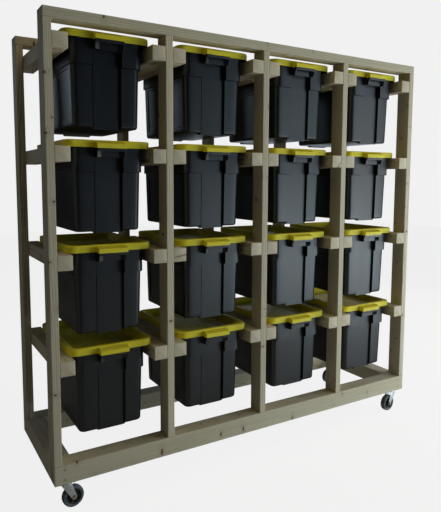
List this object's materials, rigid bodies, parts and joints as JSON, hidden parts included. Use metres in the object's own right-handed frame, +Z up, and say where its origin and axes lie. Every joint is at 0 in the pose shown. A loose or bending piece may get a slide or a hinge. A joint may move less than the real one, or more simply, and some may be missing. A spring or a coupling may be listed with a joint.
{
  "type": "rolling tote rack",
  "caption": "Tall rolling timber rack of two post frames joined by runners that carry rows of lidded plastic totes, on swivel casters.",
  "frame": {"origin": "on the floor under the middle of the rack", "axes": "+X along the rack, +Y towards its back, +Z up; the totes slide out towards -Y"},
  "size_m": [2.342, 0.684, 2.297],
  "materials": {
    "rail_timber": "planed softwood, dry and slightly grey, with small knots",
    "post_timber": "planed softwood, dry and slightly grey, grain along the post",
    "runner_timber": "planed softwood with sawn end grain at both ends",
    "tote_plastic": "moulded polypropylene, near black, fine texture",
    "lid_plastic": "moulded polypropylene, yellow, low sheen",
    "zinc_steel": "bright zinc plate",
    "screw_steel": "zinc plate, dull",
    "wheel_hub": "moulded nylon, dark",
    "tyre_rubber": "grey-black rubber"
  },
  "bodies": {
    "rack": {"top_rails": "rail_timber", "sills": "rail_timber", "end_rails": "post_timber", "front_posts": "post_timber", "back_posts": "post_timber", "runners_row_1": "runner_timber", "runners_row_2": "runner_timber", "runners_row_3": "runner_timber", "runners_row_4": "runner_timber", "wood_screws": "screw_steel", "caster_plates": "zinc_steel", "caster_bolts": "screw_steel"},
    "caster_fl": {"fork_fl": "zinc_steel", "axle_fl": "screw_steel"},
    "wheel_fl": {"hub_fl": "wheel_hub", "tyre_fl": "tyre_rubber"},
    "caster_fr": {"fork_fr": "zinc_steel", "axle_fr": "screw_steel"},
    "wheel_fr": {"hub_fr": "wheel_hub", "tyre_fr": "tyre_rubber"},
    "caster_bl": {"fork_bl": "zinc_steel", "axle_bl": "screw_steel"},
    "wheel_bl": {"hub_bl": "wheel_hub", "tyre_bl": "tyre_rubber"},
    "caster_br": {"fork_br": "zinc_steel", "axle_br": "screw_steel"},
    "wheel_br": {"hub_br": "wheel_hub", "tyre_br": "tyre_rubber"},
    "tote_c1_r1": {"tote_c1_r1": "tote_plastic"},
    "tote_c1_r2": {"tote_c1_r2": "tote_plastic"},
    "tote_c1_r3": {"tote_c1_r3": "tote_plastic"},
    "tote_c1_r4": {"tote_c1_r4": "tote_plastic"},
    "tote_c2_r1": {"tote_c2_r1": "tote_plastic"},
    "tote_c2_r2": {"tote_c2_r2": "tote_plastic"},
    "tote_c2_r3": {"tote_c2_r3": "tote_plastic"},
    "tote_c2_r4": {"tote_c2_r4": "tote_plastic"},
    "tote_c3_r1": {"tote_c3_r1": "tote_plastic"},
    "tote_c3_r2": {"tote_c3_r2": "tote_plastic"},
    "tote_c3_r3": {"tote_c3_r3": "tote_plastic"},
    "tote_c3_r4": {"tote_c3_r4": "tote_plastic"},
    "tote_c4_r1": {"tote_c4_r1": "tote_plastic"},
    "tote_c4_r2": {"tote_c4_r2": "tote_plastic"},
    "tote_c4_r3": {"tote_c4_r3": "tote_plastic"},
    "tote_c4_r4": {"tote_c4_r4": "tote_plastic"},
    "lid_c1_r1": {"lid_c1_r1": "lid_plastic"},
    "lid_c1_r2": {"lid_c1_r2": "lid_plastic"},
    "lid_c1_r3": {"lid_c1_r3": "lid_plastic"},
    "lid_c1_r4": {"lid_c1_r4": "lid_plastic"},
    "lid_c2_r1": {"lid_c2_r1": "lid_plastic"},
    "lid_c2_r2": {"lid_c2_r2": "lid_plastic"},
    "lid_c2_r3": {"lid_c2_r3": "lid_plastic"},
    "lid_c2_r4": {"lid_c2_r4": "lid_plastic"},
    "lid_c3_r1": {"lid_c3_r1": "lid_plastic"},
    "lid_c3_r2": {"lid_c3_r2": "lid_plastic"},
    "lid_c3_r3": {"lid_c3_r3": "lid_plastic"},
    "lid_c3_r4": {"lid_c3_r4": "lid_plastic"},
    "lid_c4_r1": {"lid_c4_r1": "lid_plastic"},
    "lid_c4_r2": {"lid_c4_r2": "lid_plastic"},
    "lid_c4_r3": {"lid_c4_r3": "lid_plastic"},
    "lid_c4_r4": {"lid_c4_r4": "lid_plastic"}
  },
  "joints": [
    {"name": "swivel_fl", "type": "hinge", "parent": "rack", "child": "caster_fl", "pos_m": [-1.109, -0.2945, 0.145], "axis": [0, 0, 1], "continuous": true},
    {"name": "roll_fl", "type": "hinge", "parent": "caster_fl", "child": "wheel_fl", "pos_m": [-1.07525, -0.29036, 0.0525], "axis": [-0.1219, 0.9925, 0], "continuous": true},
    {"name": "swivel_fr", "type": "hinge", "parent": "rack", "child": "caster_fr", "pos_m": [1.109, -0.2945, 0.145], "axis": [0, 0, 1], "continuous": true},
    {"name": "roll_fr", "type": "hinge", "parent": "caster_fr", "child": "wheel_fr", "pos_m": [1.07513, -0.29746, 0.0525], "axis": [0.0872, -0.9962, 0], "continuous": true},
    {"name": "swivel_bl", "type": "hinge", "parent": "rack", "child": "caster_bl", "pos_m": [-1.109, 0.2945, 0.145], "axis": [0, 0, 1], "continuous": true},
    {"name": "roll_bl", "type": "hinge", "parent": "caster_bl", "child": "wheel_bl", "pos_m": [-1.07513, 0.29746, 0.0525], "axis": [-0.0872, 0.9962, 0], "continuous": true},
    {"name": "swivel_br", "type": "hinge", "parent": "rack", "child": "caster_br", "pos_m": [1.109, 0.2945, 0.145], "axis": [0, 0, 1], "continuous": true},
    {"name": "roll_br", "type": "hinge", "parent": "caster_br", "child": "wheel_br", "pos_m": [1.07505, 0.29272, 0.0525], "axis": [0.0523, -0.9986, 0], "continuous": true},
    {"name": "slide_c1_r1", "type": "slide", "parent": "rack", "child": "tote_c1_r1", "axis": [0, -1, 0], "range_m": [0, 0.3]},
    {"name": "lift_c1_r1", "type": "slide", "parent": "tote_c1_r1", "child": "lid_c1_r1", "axis": [0, 0, 1], "range_m": [0, 0.015]},
    {"name": "slide_c1_r2", "type": "slide", "parent": "rack", "child": "tote_c1_r2", "axis": [0, -1, 0], "range_m": [0, 0.3]},
    {"name": "lift_c1_r2", "type": "slide", "parent": "tote_c1_r2", "child": "lid_c1_r2", "axis": [0, 0, 1], "range_m": [0, 0.045]},
    {"name": "slide_c1_r3", "type": "slide", "parent": "rack", "child": "tote_c1_r3", "axis": [0, -1, 0], "range_m": [0, 0.3]},
    {"name": "lift_c1_r3", "type": "slide", "parent": "tote_c1_r3", "child": "lid_c1_r3", "axis": [0, 0, 1], "range_m": [0, 0.045]},
    {"name": "slide_c1_r4", "type": "slide", "parent": "rack", "child": "tote_c1_r4", "axis": [0, -1, 0], "range_m": [0, 0.3]},
    {"name": "lift_c1_r4", "type": "slide", "parent": "tote_c1_r4", "child": "lid_c1_r4", "axis": [0, 0, 1], "range_m": [0, 0.045]},
    {"name": "slide_c2_r1", "type": "slide", "parent": "rack", "child": "tote_c2_r1", "axis": [0, -1, 0], "range_m": [0, 0.3]},
    {"name": "lift_c2_r1", "type": "slide", "parent": "tote_c2_r1", "child": "lid_c2_r1", "axis": [0, 0, 1], "range_m": [0, 0.015]},
    {"name": "slide_c2_r2", "type": "slide", "parent": "rack", "child": "tote_c2_r2", "axis": [0, -1, 0], "range_m": [0, 0.3]},
    {"name": "lift_c2_r2", "type": "slide", "parent": "tote_c2_r2", "child": "lid_c2_r2", "axis": [0, 0, 1], "range_m": [0, 0.045]},
    {"name": "slide_c2_r3", "type": "slide", "parent": "rack", "child": "tote_c2_r3", "axis": [0, -1, 0], "range_m": [0, 0.3]},
    {"name": "lift_c2_r3", "type": "slide", "parent": "tote_c2_r3", "child": "lid_c2_r3", "axis": [0, 0, 1], "range_m": [0, 0.045]},
    {"name": "slide_c2_r4", "type": "slide", "parent": "rack", "child": "tote_c2_r4", "axis": [0, -1, 0], "range_m": [0, 0.3]},
    {"name": "lift_c2_r4", "type": "slide", "parent": "tote_c2_r4", "child": "lid_c2_r4", "axis": [0, 0, 1], "range_m": [0, 0.045]},
    {"name": "slide_c3_r1", "type": "slide", "parent": "rack", "child": "tote_c3_r1", "axis": [0, -1, 0], "range_m": [0, 0.3]},
    {"name": "lift_c3_r1", "type": "slide", "parent": "tote_c3_r1", "child": "lid_c3_r1", "axis": [0, 0, 1], "range_m": [0, 0.015]},
    {"name": "slide_c3_r2", "type": "slide", "parent": "rack", "child": "tote_c3_r2", "axis": [0, -1, 0], "range_m": [0, 0.3]},
    {"name": "lift_c3_r2", "type": "slide", "parent": "tote_c3_r2", "child": "lid_c3_r2", "axis": [0, 0, 1], "range_m": [0, 0.045]},
    {"name": "slide_c3_r3", "type": "slide", "parent": "rack", "child": "tote_c3_r3", "axis": [0, -1, 0], "range_m": [0, 0.3]},
    {"name": "lift_c3_r3", "type": "slide", "parent": "tote_c3_r3", "child": "lid_c3_r3", "axis": [0, 0, 1], "range_m": [0, 0.045]},
    {"name": "slide_c3_r4", "type": "slide", "parent": "rack", "child": "tote_c3_r4", "axis": [0, -1, 0], "range_m": [0, 0.3]},
    {"name": "lift_c3_r4", "type": "slide", "parent": "tote_c3_r4", "child": "lid_c3_r4", "axis": [0, 0, 1], "range_m": [0, 0.045]},
    {"name": "slide_c4_r1", "type": "slide", "parent": "rack", "child": "tote_c4_r1", "axis": [0, -1, 0], "range_m": [0, 0.3]},
    {"name": "lift_c4_r1", "type": "slide", "parent": "tote_c4_r1", "child": "lid_c4_r1", "axis": [0, 0, 1], "range_m": [0, 0.015]},
    {"name": "slide_c4_r2", "type": "slide", "parent": "rack", "child": "tote_c4_r2", "axis": [0, -1, 0], "range_m": [0, 0.3]},
    {"name": "lift_c4_r2", "type": "slide", "parent": "tote_c4_r2", "child": "lid_c4_r2", "axis": [0, 0, 1], "range_m": [0, 0.045]},
    {"name": "slide_c4_r3", "type": "slide", "parent": "rack", "child": "tote_c4_r3", "axis": [0, -1, 0], "range_m": [0, 0.3]},
    {"name": "lift_c4_r3", "type": "slide", "parent": "tote_c4_r3", "child": "lid_c4_r3", "axis": [0, 0, 1], "range_m": [0, 0.045]},
    {"name": "slide_c4_r4", "type": "slide", "parent": "rack", "child": "tote_c4_r4", "axis": [0, -1, 0], "range_m": [0, 0.3]},
    {"name": "lift_c4_r4", "type": "slide", "parent": "tote_c4_r4", "child": "lid_c4_r4", "axis": [0, 0, 1], "range_m": [0, 0.045]}
  ]
}
